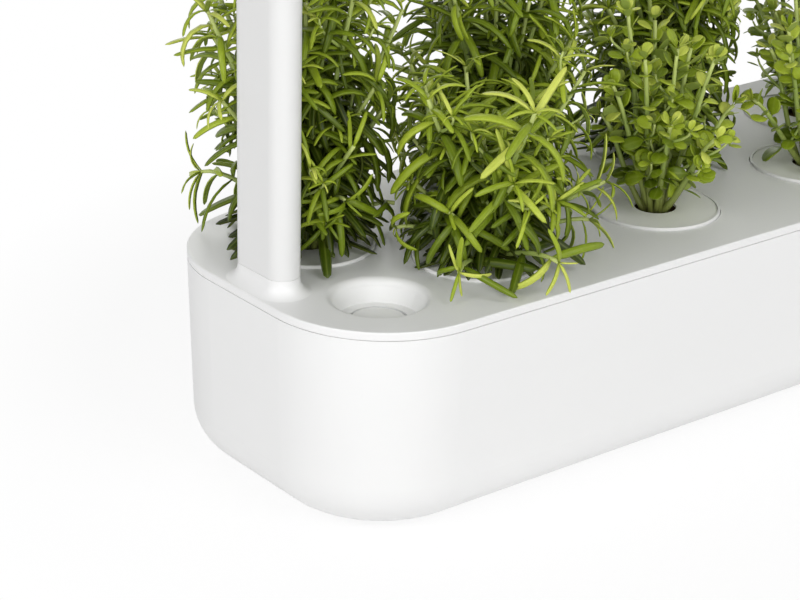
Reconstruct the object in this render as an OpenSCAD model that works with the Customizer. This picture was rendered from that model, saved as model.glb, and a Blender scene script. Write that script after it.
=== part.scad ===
// Countertop hydroponic garden: a white water tank with a lid that holds nine plant cups in two
// staggered rows, a water inlet with a float, and a light bar on two removable posts.
// Millimetres. +X runs to the right, +Y to the back, +Z up. The origin is under the middle of the
// body, on the surface that the feet stand on.

/* [Body] */
// Length of the body, left to right
body_l = 610; // [602:1:740]
// Width of the body, front to back
body_w = 185; // [178:1:240]
// Height from the tank's underside to the top of the lid
body_h = 111.3; // [108:0.1:140]
// Radius of the upright corners, at the lid
corner_r = 63.3; // [55:0.1:70]
// Radius of the rolled edge under the tank
roll_r = 27; // [15:0.5:32]
// How far the walls lean in, per unit of height
lean = 0.031; // [0:0.001:0.04]
// Thickness of the tank's walls and floor
tank_wall = 2.6; // [2.2:0.1:3.4]

/* [Feet] */
// Height of the feet below the tank
foot_h = 1; // [0.6:0.1:3]
// Radius of a foot
foot_r = 8; // [5:0.5:10]
// Gap round a foot in its pocket
foot_gap = 0.2; // [0.1:0.1:0.5]
// Depth of the pocket that a foot is stuck in
foot_pocket = 0.9; // [0.4:0.1:1.4]
// Distance of the outer feet from the body's ends
foot_inset_x = 78; // [70:1:100]
// Distance of the feet from the middle line
foot_y = 40; // [25:1:48]

/* [Lid] */
// Thickness of the lid's deck
deck_t = 4; // [3.4:0.1:5]
// Height of the band that shows below the deck's edge
band_h = 4.6; // [4.2:0.1:8]
// Radius of the deck's outer edge
edge_r = 0.8; // [0.4:0.1:1.5]
// Height of the groove between the band and the tank
groove_h = 0.5; // [0.3:0.1:1]
// Depth of that groove
groove_d = 0.9; // [0.5:0.1:1.4]
// Depth of the skirt inside the tank
skirt_d = 8; // [4:0.5:12]
// Thickness of the skirt
skirt_t = 1.8; // [1.2:0.1:2.5]
// Gap between the skirt and the tank's wall
skirt_gap = 0.5; // [0.3:0.1:1]

/* [Water inlet] */
// Distance of the inlet's centre from the left end
inlet_from_end = 50; // [48:1:60]
// Distance of the inlet's centre from the front
inlet_from_front = 48.5; // [46:0.5:60]
// Radius of the bowl's mouth
bowl_r = 26.5; // [24:0.5:29]
// Radius of the rounded lip of the bowl
bowl_lip = 4; // [2:0.5:5]
// Radius of the bowl's floor
bowl_floor_r = 20; // [18:0.5:22]
// Depth of the bowl
bowl_d = 11.5; // [9:0.5:15]
// Wall of the bowl and of its throat
bowl_wall = 2; // [1.5:0.1:2.5]
// Radius of the throat
throat_r = 15; // [13:0.5:16.5]
// Length of the throat, from the deck down
throat_l = 43; // [38:1:50]

/* [Float] */
// Gap round the float's cap in the throat
float_gap = 1.6; // [1:0.1:3]
// How far the float rises
float_travel = 9; // [4:0.5:12]
// Radius of the float's stem
float_stem_r = 9; // [5:0.5:11]
// Thickness of the float's cap and of its foot flange
float_disc_t = 2; // [1.2:0.1:3]
// Gap between the cage and the throat that it is clipped on
cage_gap = 0.1; // [0.05:0.05:0.3]
// Wall of the cage
cage_wall = 1.5; // [1:0.1:2]
// How far the cage reaches up over the throat
cage_grip = 8; // [5:0.5:12]
// Radius of the hole in the cage's floor
cage_hole_r = 6; // [3:0.5:8]
// Width of a slot in the cage
cage_slot_w = 8; // [4:0.5:10]

/* [Plant cups] */
// Sideways step from one cup to the next
cup_pitch = 60.5; // [58:0.5:60.5]
// Distance of each row from the middle line
row_y = 32; // [31:0.5:34]
// Outer radius of the ring that shows
ring_r = 34.5; // [34:0.1:36]
// How far the ring stands above the deck
ring_up = 1.5; // [0.8:0.1:4]
// Width of the ring
ring_w = 1.4; // [1:0.1:1.6]
// Depth of the recess that the ring sits in
recess_d = 2; // [1:0.1:2.4]
// Gap round the ring in its recess
recess_gap = 0.45; // [0.2:0.05:1]
// Outer radius of the cup under its ring
cup_r = 31.6; // [28:0.1:32]
// Outer radius of the cup's base
cup_base_r = 25; // [20:0.5:27]
// Wall of the cup
cup_wall = 1.6; // [1.2:0.1:2]
// Depth of the cup below the deck
cup_d = 95; // [70:1:99]
// Gap between the cup and the hole in the lid
cup_gap = 0.6; // [0.3:0.1:1]
// Radius of the hole in the middle of the cup's base
middle_drain_r = 5; // [3:0.5:7]
// Radius of the small holes in the cup's base
drain_r = 2.5; // [1.5:0.5:3.5]
// How many small holes the base has
drains = 6; // [3:1:8]
// Radius of the circle that the small holes lie on
drain_circle = 15; // [11:0.5:16]

/* [Soil pods and covers] */
// Thickness of the cover disc
cover_t = 1.4; // [1:0.1:2]
// How far the cover lies below the ring's top
cover_low = 0.7; // [0.3:0.1:1.2]
// Gap round the cover
cover_gap = 0.25; // [0.15:0.05:0.5]
// Radius of the hole for the stems
stem_hole_r = 11.2; // [8:0.2:16]
// Gap between the soil pod and the cup's wall
pod_gap = 0.3; // [0.1:0.1:0.6]
// Space between the soil and the cover
soil_low = 2.5; // [1:0.5:8]

/* [Plants] */
// Radius of the plants' shared stem
stem_r = 6; // [4:0.5:7.5]
// Height of the plants' lowest leaves above the deck
leaf_low = 6; // [4:1:15]
// Gap between neighbouring plants
plant_gap = 3; // [2:0.5:8]

/* [Posts] */
// Thickness of a post, left to right
post_t = 17.5; // [15:0.1:19]
// Depth of a post, front to back
post_w = 40.1; // [32:0.1:46]
// Distance of a post's centre from the body's end
post_from_end = 16; // [15:0.1:18]
// Length of an extension post that shows
post_l = 172; // [170:1:230]
// Length of a lamp leg that shows
leg_l = 78; // [76:1:160]
// Wall of the posts
post_wall = 2; // [1.6:0.1:2.4]
// Length of the plug at the lower end of a post and of a leg
plug_l = 24; // [15:1:30]
// Wall of that plug
plug_wall = 1.6; // [1.2:0.1:1.9]
// Gap round the plug in its socket
plug_gap = 0.15; // [0.1:0.05:0.3]
// Height of the flared foot on the lid
flare_h = 8.2; // [7.2:0.1:12]
// Radius of the flare
flare_r = 7; // [4:0.5:7]

/* [Lamp] */
// Width of the lamp, front to back
lamp_w = 80; // [70:1:110]
// Height of the lamp
lamp_h = 24; // [22:1:34]
// Radius of the lamp's upright corners
lamp_corner_r = 20; // [14:1:22]
// Radius of the lamp's upper edge
lamp_edge_r = 7; // [3:0.5:9]
// How far the lamp's ends stand past the legs
lamp_lip = 1.3; // [0.8:0.1:4]
// Wall of the lamp's housing
lamp_wall = 2; // [1.6:0.1:2.6]
// Length of the closed floor at each end of the housing
lamp_end_l = 36; // [32:1:44]
// Thickness of the diffuser
diffuser_t = 2; // [1.2:0.1:3]
// How deep the diffuser sits in the housing
diffuser_up = 1.2; // [0.5:0.1:2.5]
// Gap round the diffuser
diffuser_gap = 0.3; // [0.1:0.1:0.6]
// Length of the heat spreader
spreader_l = 500; // [400:5:505]
// Width of the heat spreader
spreader_w = 46; // [40:1:60]
// Thickness of the heat spreader
spreader_t = 2; // [1.5:0.1:3]
// Thickness of the light board
board_t = 1.2; // [0.8:0.1:1.6]
// Rim of the heat spreader that the light board leaves bare
board_rim = 5; // [3:0.5:6]
// How many light-emitting diodes lie in a row
led_columns = 26; // [10:1:34]
// Step between them
led_pitch = 18; // [10:0.5:18.5]
// Distance of the two rows from the middle line
led_row_y = 9; // [6:0.5:12]
// Side of one diode
led_side = 3; // [2:0.1:5]
// Height of one diode
led_t = 0.8; // [0.5:0.1:1.2]

/* [Lamp controls] */
// Distance of the push button from the lamp's middle
button_x = 232; // [225:1:238]
// Radius of the push button
button_r = 6; // [4:0.5:8]
// How far the button stands proud
button_up = 1.6; // [1.3:0.1:3]
// Travel of the button
button_travel = 1.2; // [0.8:0.1:1.2]
// Gap round the button
button_gap = 0.2; // [0.1:0.05:0.4]
// Radius of the power plug's barrel
jack_r = 2.75; // [2:0.05:3.5]
// Radius of the pin in the inlet
jack_pin_r = 1; // [0.6:0.05:1.2]
// Distance of the power inlet from the lamp's middle
jack_x = 205; // [180:1:212]
// Thickness of the flat internal leads
lead_t = 2; // [1.2:0.1:2.4]
// Width of the flat internal leads
lead_w = 3; // [2:0.1:3.6]

/* [Hidden] */
$fn = 96;
eps = 0.01;
over = 1;
big = 500;
pods = 9;
lean_a = atan(lean);

// Levels
deck_z = foot_h + body_h;
rim_z = deck_z - band_h;
seam_z = deck_z + flare_h;
post_top_z = seam_z + post_l;
lamp_z = post_top_z + leg_l;
lamp_top_z = lamp_z + lamp_h;
cover_z = deck_z + ring_up - cover_low - cover_t;
soil_z = cover_z - soil_low;
cup_z = deck_z - cup_d;

// Places
inlet = [inlet_from_end - body_l / 2, inlet_from_front - body_w / 2];
post_x = body_l / 2 - post_from_end;
post_r = post_t / 2;
post_half = post_w / 2;
function pod_place(k) = [(k - (pods + 1) / 2) * cup_pitch, k % 2 == 1 ? row_y : -row_y];
function pod_names(word) = [for (k = [1:pods]) str(word, "_", k)];

// Plants: radius of the foliage and its height above the deck, from the left
foliage_r = [60, 60, 54, 46, 60, 58, 48, 58, 60];
foliage_h = [165, 102, 150, 112, 170, 108, 138, 116, 160];
// Outline of the foliage, as shares of its radius and height
foliage_outline = [[0.45, 0], [0.86, 0.13], [1, 0.34], [1, 0.63], [0.84, 0.83], [0.45, 1]];
crown_t = 1;

// Lid
socket_deep = 1;
flare_sunk = 0.12;

// Cups
ring_chamfer = 0.4;

// Inlet
cage_r = throat_r + bowl_wall + cage_gap;
float_foot_z = deck_z - throat_l - float_travel - float_disc_t;
cage_z = float_foot_z - cage_wall;

// Posts
shoulder_t = 3;
joint_line_h = 0.4;
joint_line_d = 0.35;
leg_slack = 0.2;

// Lamp
lamp_l = 2 * (post_x + post_r + lamp_lip);
diffuser_z = lamp_z + diffuser_up;
diffuser_l = lamp_l - 2 * lamp_end_l;
roof_z = lamp_top_z - lamp_wall;
led_room = 4.6;
led_z = diffuser_z + diffuser_t + led_room;
board_z = led_z + led_t;
board_w = spreader_w - 2 * board_rim;
board_l = spreader_l - 2 * board_rim;
spreader_z = board_z + board_t;
spreader_top_z = spreader_z + spreader_t;

// Screws and bosses
screw_r = 1.5;
screw_head_r = 2.4;
screw_head_t = 1.6;
screw_bite = 6;
screw_slack = 0.2;
boss_r = 3.2;
spreader_screw_x = [-200, 0, 200];
spreader_screw_y = spreader_w / 2 - board_rim / 2;
leg_screw_y = 8;
leg_boss_l = 7;
leg_top_z = roof_z - leg_boss_l;
leg_cap_t = 2.4;

// Driver board
driver_l = 56;
driver_w = 30;
driver_t = 1.6;
driver_gap = 0.4;
driver_z = spreader_top_z + driver_gap + screw_head_t;
driver_shift = 6;
driver_x = button_x - driver_shift;
driver_screw_x = 24;
driver_part_dx = 14;
driver_part_y = 8;
capacitor_r = 3;
capacitor_h = 5.5;
coil_side = 6;
coil_h = 4;

// Button, switch, power inlet and leads
button_flange_w = 1.6;
button_flange_t = 1;
button_stem_r = 2;
switch_side = 6;
switch_h = 3.4;
switch_slack = 0.1;
jack_body = 7.5;
jack_l = 13;
jack_floor_t = 1;
jack_rim = 0.75;
lead_bend = 3;
lead_lap = 5;
lead_gap = 0.4;
lead_y = -8;
jack_z = spreader_top_z + lead_gap + lead_t / 2;
lead_hole_r = norm([lead_t, lead_w]) / 2 + lead_gap;
lead_hole_shift = 46;
lead_hole_x = button_x - lead_hole_shift;

// ---- shapes that several pieces share ----

// Sweeps a profile, drawn with X outwards from the corners' axes, round a rounded rectangle.
module swept(l, w, r) {
    for (sx = [0, 1], sy = [0, 1])
        mirror([sx, 0, 0]) mirror([0, sy, 0])
            translate([l / 2 - r, w / 2 - r, 0]) rotate_extrude(angle = 90) children();
    for (s = [0, 1])
        mirror([s, 0, 0]) translate([l / 2 - r, w / 2 - r, 0])
            rotate([90, 0, 0]) linear_extrude(w - 2 * r) children();
    for (s = [0, 1])
        mirror([0, s, 0]) translate([r - l / 2, w / 2 - r, 0])
            rotate([90, 0, 90]) linear_extrude(l - 2 * r) children();
}

// Half of an upright section through a bin: a leaning wall with a rolled lower edge, inset by gap.
module bin_half(top_r, h, roll, slope, gap) {
    line_d = top_r * cos(slope) - h * sin(slope);
    roll_x = (line_d - roll + roll * sin(slope)) / cos(slope);
    translate([roll_x, roll]) circle(roll - gap);
    polygon([
        [0, gap],
        [roll_x, gap],
        [roll_x + (roll - gap) * cos(slope), roll - (roll - gap) * sin(slope)],
        [(line_d - gap + h * sin(slope)) / cos(slope), h],
        [0, h]
    ]);
}

// An open bin with rounded corners, standing on z = 0.
module bin(l, w, h, r, roll, slope, wall) {
    swept(l, w, r)
        difference() {
            bin_half(r, h, roll, slope, 0);
            bin_half(r, h, roll, slope, wall);
        }
    translate([r - l / 2, r - w / 2, 0]) cube([l - 2 * r, w - 2 * r, wall]);
}

// A flat oval, long along Y.
module oval(r, half) {
    square([2 * r, 2 * (half - r)], center = true);
    for (s = [-1, 1]) translate([0, s * (half - r)]) circle(r);
}

// A tube of oval section with the given wall, inset from the posts' outside.
module oval_tube(z, h, inset, wall) {
    translate([0, 0, z])
        linear_extrude(h)
            difference() {
                oval(post_r - inset, post_half - inset);
                oval(post_r - inset - wall, post_half - inset - wall);
            }
}

module at_pod(k) {
    translate([pod_place(k)[0], pod_place(k)[1], 0]) children();
}

module at_posts() {
    for (s = [-1, 1]) translate([s * post_x, 0, 0]) children();
}

// A screw whose head bears on z = 0 from below.
module screw() {
    translate([0, 0, -screw_head_t]) cylinder(r = screw_head_r, h = screw_head_t);
    cylinder(r = screw_r, h = screw_bite);
}

// A boss that hangs from the lamp's roof down to z, and the hole for its screw.
module boss(z) {
    translate([0, 0, z]) cylinder(r = boss_r, h = roof_z - z + over);
}

module boss_hole(z) {
    translate([0, 0, z - over]) cylinder(r = screw_r, h = screw_bite + over);
}

module at_spreader_screws() {
    for (x = spreader_screw_x, s = [-1, 1]) translate([x, s * spreader_screw_y, 0]) children();
}

module at_driver_screws() {
    for (s = [-1, 1]) translate([driver_x + s * driver_screw_x, 0, 0]) children();
}

// ---- tank ----

module at_feet() {
    for (x = [foot_inset_x - body_l / 2, 0, body_l / 2 - foot_inset_x], y = [-foot_y, foot_y])
        translate([x, y, 0]) children();
}

module tank() {
    color("white") difference() {
        translate([0, 0, foot_h])
            bin(body_l - 2 * lean * band_h, body_w - 2 * lean * band_h, rim_z - foot_h,
                corner_r - lean * band_h, roll_r, lean_a, tank_wall);
        at_feet() translate([0, 0, foot_h - over])
            cylinder(r = foot_r + foot_gap, h = foot_pocket + over);
    }
}

module feet() {
    color("dimgray") at_feet() cylinder(r = foot_r, h = foot_h + foot_pocket);
}

// ---- lid ----

// Section of the lid's edge: deck, band, the groove over the tank's rim, and the skirt inside it.
module lid_half() {
    seam_r = corner_r - lean * band_h;
    skirt_r = seam_r - tank_wall - skirt_gap;
    translate([corner_r - edge_r, -edge_r]) circle(edge_r);
    polygon([
        [0, 0],
        [corner_r - edge_r, 0],
        [corner_r, -edge_r],
        [seam_r, groove_h - band_h],
        [seam_r - groove_d, groove_h - band_h],
        [seam_r - groove_d, -band_h],
        [skirt_r, -band_h],
        [skirt_r, -band_h - skirt_d],
        [skirt_r - skirt_t, -band_h - skirt_d],
        [skirt_r - skirt_t, -deck_t],
        [0, -deck_t]
    ]);
}

// Section of the hollow of the water inlet, from the rounded lip down through the throat.
module bowl_hollow() {
    translate([0, -throat_l - eps]) square([throat_r, throat_l + 2 * eps]);
    polygon([
        [0, -bowl_d],
        [bowl_floor_r, -bowl_d],
        [bowl_r - bowl_lip, -bowl_lip],
        [bowl_r - bowl_lip, eps],
        [0, eps]
    ]);
    difference() {
        translate([bowl_r - bowl_lip - eps, -bowl_lip]) square([bowl_lip + eps, bowl_lip + eps]);
        translate([bowl_r, -bowl_lip]) circle(bowl_lip);
    }
}

// Section of the flared foot of a post, sunk a little into the deck.
module flare_half() {
    difference() {
        translate([0, -over]) square([post_r + flare_r, flare_h + over]);
        translate([post_r + flare_r, flare_r - flare_sunk]) circle(flare_r);
        translate([post_r, flare_r - flare_sunk]) square([flare_r + over, flare_h]);
    }
}

module flare() {
    straight = post_w - post_t;
    for (s = [0, 1])
        mirror([0, s, 0]) translate([0, straight / 2, 0]) rotate_extrude(angle = 180) flare_half();
    for (s = [0, 1])
        mirror([s, 0, 0]) translate([0, straight / 2, 0])
            rotate([90, 0, 0]) linear_extrude(straight) flare_half();
}

module lid() {
    socket_z = seam_z - plug_l - socket_deep;
    color("white") difference() {
        union() {
            translate([0, 0, deck_z]) swept(body_l, body_w, corner_r) lid_half();
            translate([corner_r - body_l / 2, corner_r - body_w / 2, deck_z - deck_t])
                cube([body_l - 2 * corner_r, body_w - 2 * corner_r, deck_t]);
            at_posts() translate([0, 0, deck_z]) flare();
            at_posts() translate([0, 0, socket_z - bowl_wall])
                linear_extrude(deck_z - deck_t - socket_z + bowl_wall + eps) oval(post_r, post_half);
            translate([inlet[0], inlet[1], deck_z - bowl_d - bowl_wall])
                cylinder(r = bowl_r, h = bowl_d + bowl_wall - eps);
            translate([inlet[0], inlet[1], deck_z - throat_l])
                cylinder(r = throat_r + bowl_wall, h = throat_l - bowl_d);
        }
        for (k = [1:pods]) at_pod(k) {
            translate([0, 0, deck_z - deck_t - over]) cylinder(r = cup_r + cup_gap, h = deck_t + 2 * over);
            translate([0, 0, deck_z - recess_d]) cylinder(r = ring_r + recess_gap, h = recess_d + over);
        }
        translate([inlet[0], inlet[1], deck_z]) rotate_extrude() bowl_hollow();
        at_posts() translate([0, 0, socket_z])
            linear_extrude(plug_l + socket_deep + over)
                oval(post_r - post_wall + plug_gap, post_half - post_wall + plug_gap);
    }
}

// ---- float and its cage ----

module float() {
    cap_z = deck_z - bowl_d - float_disc_t;
    color("gainsboro") translate([inlet[0], inlet[1], 0]) {
        translate([0, 0, cap_z]) cylinder(r = throat_r - float_gap, h = float_disc_t);
        translate([0, 0, float_foot_z]) cylinder(r = float_stem_r, h = cap_z - float_foot_z);
        translate([0, 0, float_foot_z]) cylinder(r = cage_r - float_gap / 2, h = float_disc_t);
    }
}

module float_cage() {
    cage_h = deck_z - throat_l + cage_grip - cage_z;
    slot_h = deck_z - throat_l - cage_z - 2 * cage_wall;
    color("white") translate([inlet[0], inlet[1], cage_z]) difference() {
        cylinder(r = cage_r + cage_wall, h = cage_h);
        translate([0, 0, cage_wall]) cylinder(r = cage_r, h = cage_h);
        translate([0, 0, -over]) cylinder(r = cage_hole_r, h = cage_wall + 2 * over);
        for (a = [45:90:315])
            rotate(a) translate([cage_r - over, -cage_slot_w / 2, cage_wall])
                cube([cage_wall + 2 * over, cage_slot_w, slot_h]);
    }
}

// ---- plant cups ----

module cup(k) {
    ring_in = ring_r - ring_w;
    color("white") at_pod(k) difference() {
        rotate_extrude() polygon([
            [0, cup_z],
            [cup_base_r, cup_z],
            [cup_r, deck_z - recess_d],
            [ring_r, deck_z - recess_d],
            [ring_r, deck_z + ring_up - ring_chamfer],
            [ring_r - ring_chamfer, deck_z + ring_up],
            [ring_in, deck_z + ring_up],
            [ring_in, cover_z],
            [cup_r - cup_wall, cover_z],
            [cup_base_r - cup_wall, cup_z + cup_wall],
            [0, cup_z + cup_wall]
        ]);
        translate([0, 0, cup_z - over]) cylinder(r = middle_drain_r, h = cup_wall + 2 * over);
        for (a = [0:360 / drains:359])
            rotate(a) translate([drain_circle, 0, cup_z - over])
                cylinder(r = drain_r, h = cup_wall + 2 * over);
    }
}

module soil_pod(k) {
    base_z = cup_z + cup_wall;
    taper = (cup_r - cup_base_r) / (cover_z - base_z);
    color("saddlebrown") at_pod(k) rotate_extrude() polygon([
        [0, base_z],
        [cup_base_r - cup_wall - pod_gap, base_z],
        [cup_r - cup_wall - pod_gap - taper * soil_low, soil_z],
        [0, soil_z]
    ]);
}

module pod_cover(k) {
    color("whitesmoke") at_pod(k) translate([0, 0, cover_z]) difference() {
        cylinder(r = ring_r - ring_w - cover_gap, h = cover_t);
        translate([0, 0, -over]) cylinder(r = stem_hole_r, h = cover_t + 2 * over);
    }
}

// ---- plants ----

// Takes away what lies further than reach from the pod, in the direction of a point.
module kept_from(from, to, reach) {
    way = to - from;
    translate([from[0], from[1], 0]) rotate(atan2(way[1], way[0]))
        translate([reach, -big / 2, 0]) cube([big, big, big]);
}

module plant(k) {
    r = foliage_r[k - 1];
    h = foliage_h[k - 1];
    here = pod_place(k);
    post_end = [(here[0] < 0 ? -1 : 1) * post_x, sign(here[1]) * (post_half - post_r)];
    color("olivedrab") difference() {
        at_pod(k) rotate_extrude() polygon(concat(
            [[0, soil_z], [stem_r, soil_z], [stem_r, deck_z + leaf_low - crown_t]],
            [for (p = foliage_outline) [p[0] * r, deck_z + leaf_low + p[1] * (h - leaf_low)]],
            [[0, deck_z + h]]
        ));
        for (j = [1:pods]) {
            span = norm(pod_place(j) - here);
            other_r = foliage_r[j - 1];
            if (j != k && span < r + other_r + plant_gap)
                kept_from(here, pod_place(j),
                    span / 2 + (r * r - other_r * other_r) / (2 * span) - plant_gap / 2);
        }
        if (norm(post_end - here) - post_r < r + plant_gap)
            kept_from(here, post_end, norm(post_end - here) - post_r - plant_gap);
        if (norm(inlet - here) - bowl_r < r)
            kept_from(here, inlet, norm(inlet - here) - bowl_r);
    }
}

// ---- posts ----

// An oval tube that stands on a shoulder, with a fine joint line round its foot and a plug below it.
module plugged_tube(z, h, plug_inset) {
    oval_tube(z + joint_line_h, h - joint_line_h, 0, post_wall);
    oval_tube(z, shoulder_t, joint_line_d, plug_inset + plug_wall - joint_line_d);
    oval_tube(z - plug_l, plug_l + shoulder_t, plug_inset, plug_wall);
}

module post(side) {
    color("white") translate([side * post_x, 0, 0]) plugged_tube(seam_z, post_l, post_wall);
}

module leg(side) {
    color("white") translate([side * post_x, 0, 0]) difference() {
        union() {
            plugged_tube(post_top_z, leg_top_z - post_top_z, post_wall + plug_gap);
            translate([0, 0, leg_top_z - leg_cap_t])
                linear_extrude(leg_cap_t) oval(post_r - eps, post_half - eps);
        }
        for (s = [-1, 1])
            translate([0, s * leg_screw_y, leg_top_z - leg_cap_t - over])
                cylinder(r = screw_r + screw_slack, h = leg_cap_t + 2 * over);
    }
}

module leg_screws() {
    color("silver") at_posts() for (s = [-1, 1])
        translate([0, s * leg_screw_y, leg_top_z - leg_cap_t]) screw();
}

// ---- lamp ----

// A rounded rectangle in the plane.
module rounded(l, w, r) {
    square([l - 2 * r, w], center = true);
    square([l, w - 2 * r], center = true);
    for (sx = [-1, 1], sy = [-1, 1]) translate([sx * (l / 2 - r), sy * (w / 2 - r)]) circle(r);
}

// The floor that closes each end of the housing.
module lamp_ends() {
    inset = lamp_wall / 2;
    for (s = [0, 1]) mirror([s, 0, 0]) intersection() {
        translate([diffuser_l / 2, -lamp_w / 2, lamp_z]) cube([lamp_end_l, lamp_w, lamp_wall]);
        translate([0, 0, lamp_z]) linear_extrude(lamp_wall)
            rounded(lamp_l - 2 * inset, lamp_w - 2 * inset, lamp_corner_r - inset);
    }
}

module lamp_shell() {
    color("white") difference() {
        union() {
            translate([0, 0, lamp_top_z]) mirror([0, 0, 1])
                bin(lamp_l, lamp_w, lamp_h, lamp_corner_r, lamp_edge_r, 0, lamp_wall);
            lamp_ends();
            at_posts() for (s = [-1, 1]) translate([0, s * leg_screw_y, 0]) boss(leg_top_z);
            at_spreader_screws() boss(spreader_top_z);
            at_driver_screws() boss(driver_z + driver_t);
        }
        at_posts() translate([0, 0, lamp_z - over])
            linear_extrude(leg_top_z - lamp_z + over) oval(post_r + leg_slack, post_half + leg_slack);
        at_posts() for (s = [-1, 1]) translate([0, s * leg_screw_y, 0]) boss_hole(leg_top_z);
        at_spreader_screws() boss_hole(spreader_top_z);
        at_driver_screws() boss_hole(driver_z + driver_t);
        translate([button_x, 0, roof_z - over])
            cylinder(r = button_r + button_gap, h = lamp_wall + 2 * over);
        translate([jack_x, lamp_w / 2 + over, jack_z]) rotate([90, 0, 0])
            cylinder(r = jack_r + jack_rim, h = lamp_wall + 2 * over);
    }
}

module diffuser() {
    inner_w = lamp_w - 2 * lamp_wall;
    color("ghostwhite") translate([0, 0, diffuser_z + diffuser_t / 2])
        cube([diffuser_l - 2 * diffuser_gap, inner_w - 2 * diffuser_gap, diffuser_t], center = true);
}

module heat_spreader() {
    color("silver") difference() {
        translate([0, 0, spreader_z + spreader_t / 2])
            cube([spreader_l, spreader_w, spreader_t], center = true);
        at_spreader_screws() translate([0, 0, spreader_z - over])
            cylinder(r = screw_r + screw_slack, h = spreader_t + 2 * over);
        translate([lead_hole_x, lead_y, spreader_z - over])
            cylinder(r = lead_hole_r, h = spreader_t + 2 * over);
    }
}

module led_board() {
    color("white") translate([0, 0, board_z + board_t / 2])
        cube([board_l, board_w, board_t], center = true);
}

module leds() {
    color("lightyellow")
        for (i = [0:led_columns - 1], s = [-1, 1])
            translate([(i - (led_columns - 1) / 2) * led_pitch, s * led_row_y, led_z + led_t / 2])
                cube([led_side, led_side, led_t], center = true);
}

module spreader_screws() {
    color("silver") at_spreader_screws() translate([0, 0, spreader_z]) screw();
}

// The driver board with its capacitor and coil.
module driver_board() {
    top = driver_z + driver_t;
    color("seagreen") difference() {
        translate([driver_x - driver_l / 2, -driver_w / 2, driver_z]) cube([driver_l, driver_w, driver_t]);
        at_driver_screws() translate([0, 0, driver_z - over])
            cylinder(r = screw_r + screw_slack, h = driver_t + 2 * over);
    }
    color("dimgray") translate([button_x - driver_part_dx, driver_part_y, top])
        cylinder(r = capacitor_r, h = capacitor_h);
    color("darkslategray") translate([button_x - driver_part_dx, -driver_part_y, top + coil_h / 2])
        cube([coil_side, coil_side, coil_h], center = true);
}

module driver_screws() {
    color("silver") at_driver_screws() translate([0, 0, driver_z]) screw();
}

module power_button() {
    flange_z = roof_z - button_flange_t;
    stem_z = driver_z + driver_t + switch_h + button_travel + switch_slack;
    color("whitesmoke") translate([button_x, 0, 0]) {
        translate([0, 0, flange_z]) cylinder(r = button_r + button_flange_w, h = button_flange_t);
        translate([0, 0, flange_z]) cylinder(r = button_r, h = lamp_top_z + button_up - flange_z);
        translate([0, 0, stem_z]) cylinder(r = button_stem_r, h = flange_z - stem_z + eps);
    }
}

module button_switch() {
    color("dimgray") translate([button_x - switch_side / 2, -switch_side / 2, driver_z + driver_t])
        cube([switch_side, switch_side, switch_h]);
}

module dc_inlet() {
    color("black") translate([jack_x, lamp_w / 2 - lamp_wall, jack_z]) {
        difference() {
            translate([-jack_body / 2, -jack_l, -jack_body / 2]) cube([jack_body, jack_l, jack_body]);
            translate([0, over, 0]) rotate([90, 0, 0]) cylinder(r = jack_r, h = jack_l - jack_floor_t + over);
        }
        rotate([90, 0, 0]) cylinder(r = jack_pin_r, h = jack_l - jack_floor_t / 2);
    }
}

// A flat lead along a list of points in the plane, with round bends.
module lead(points) {
    linear_extrude(lead_w, center = true) {
        for (i = [0:len(points) - 2]) {
            way = points[i + 1] - points[i];
            translate(points[i]) rotate(atan2(way[1], way[0]))
                translate([0, -lead_t / 2]) square([norm(way), lead_t]);
        }
        for (i = [1:len(points) - 2]) translate(points[i]) circle(d = lead_t);
    }
}

// The lead from the power inlet to the driver board, and the one on to the light board.
module lamp_leads() {
    on_board = driver_z + driver_t + lead_t / 2;
    jack_back = lamp_w / 2 - lamp_wall - jack_l;
    board_end = driver_x - driver_l / 2;
    color("black") {
        translate([jack_x, 0, 0]) rotate([90, 0, 90]) lead([
            [jack_back, jack_z],
            [jack_back - lead_bend, jack_z],
            [driver_w / 2, on_board],
            [driver_w / 2 - lead_lap, on_board]
        ]);
        translate([0, lead_y, 0]) rotate([90, 0, 0]) lead([
            [board_end + lead_lap, on_board],
            [board_end - lead_bend, on_board],
            [lead_hole_x, spreader_top_z + lead_bend],
            [lead_hole_x, board_z + board_t]
        ]);
    }
}

// ---- what is drawn ----

tank();
feet();
lid();
float();
float_cage();
for (k = [1:pods]) {
    cup(k);
    soil_pod(k);
    pod_cover(k);
    plant(k);
}
post(-1);  // post_left
post(1);  // post_right
leg(-1);  // lamp_leg_left
leg(1);  // lamp_leg_right
leg_screws();
lamp_shell();
diffuser();
heat_spreader();
led_board();
leds();
spreader_screws();
driver_board();
driver_screws();
power_button();
button_switch();
dc_inlet();
lamp_leads();
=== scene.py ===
from itertools import product
from math import cos, hypot, pi, radians, sin, sqrt
from random import Random

import bmesh
import bpy
from mathutils import Matrix, Vector, noise


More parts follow.
